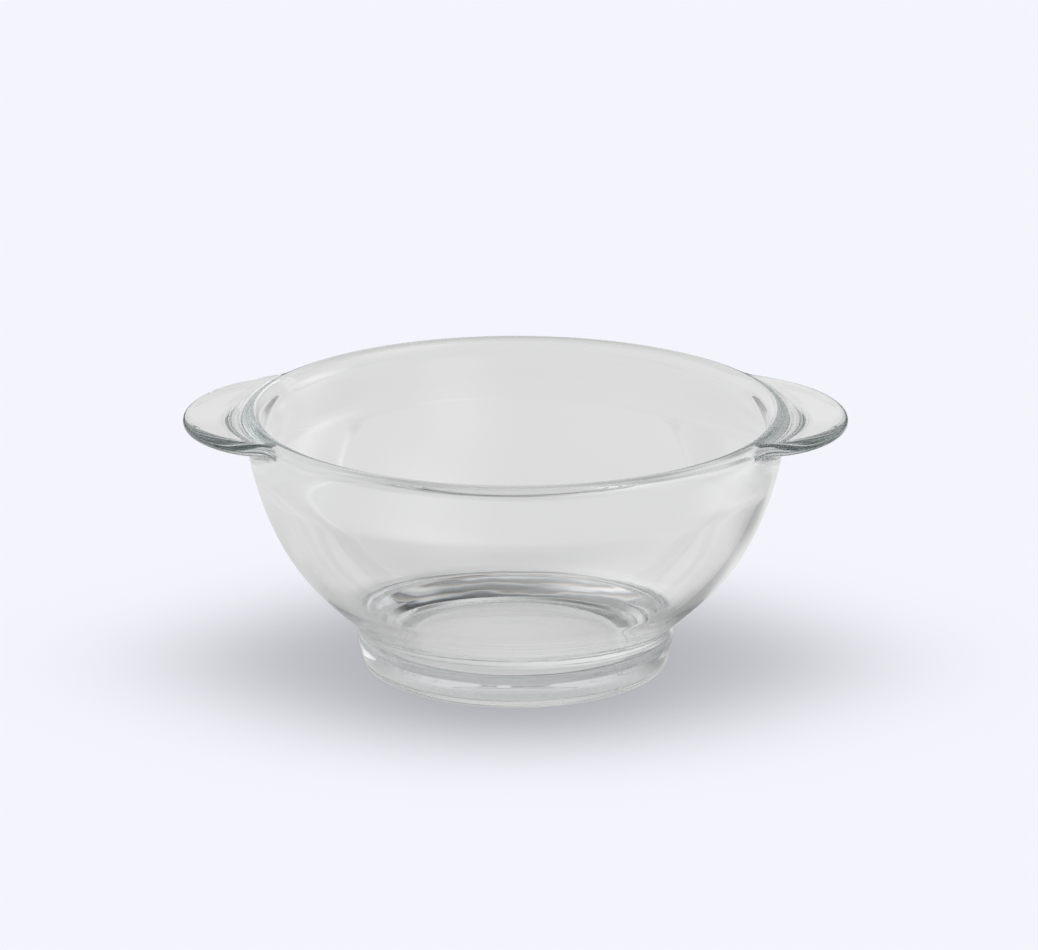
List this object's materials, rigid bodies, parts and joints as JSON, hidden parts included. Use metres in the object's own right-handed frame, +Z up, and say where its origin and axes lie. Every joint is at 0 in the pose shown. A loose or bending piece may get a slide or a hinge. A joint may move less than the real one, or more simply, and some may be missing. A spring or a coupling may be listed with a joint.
{
  "type": "eared glass bowl",
  "caption": "Round clear-glass soup bowl on a low foot ring, with a flat rounded ear on each side of the rim for lifting it.",
  "frame": {"origin": "on the standing plane, under the bowl's axis", "axes": "+Z up along the bowl's axis, +X through the right ear, +Y to the back of the picture's view"},
  "size_m": [0.1626, 0.133, 0.065],
  "materials": {
    "bowl_glass": "clear, fire-polished pressed glass",
    "foot_glass": "clear pressed glass, slightly worn on the standing ring",
    "ear_glass": "clear, fire-polished pressed glass"
  },
  "bodies": {
    "root": {"bowl": "bowl_glass", "foot_ring": "foot_glass", "left_ear": "ear_glass", "right_ear": "ear_glass"}
  },
  "joints": []
}
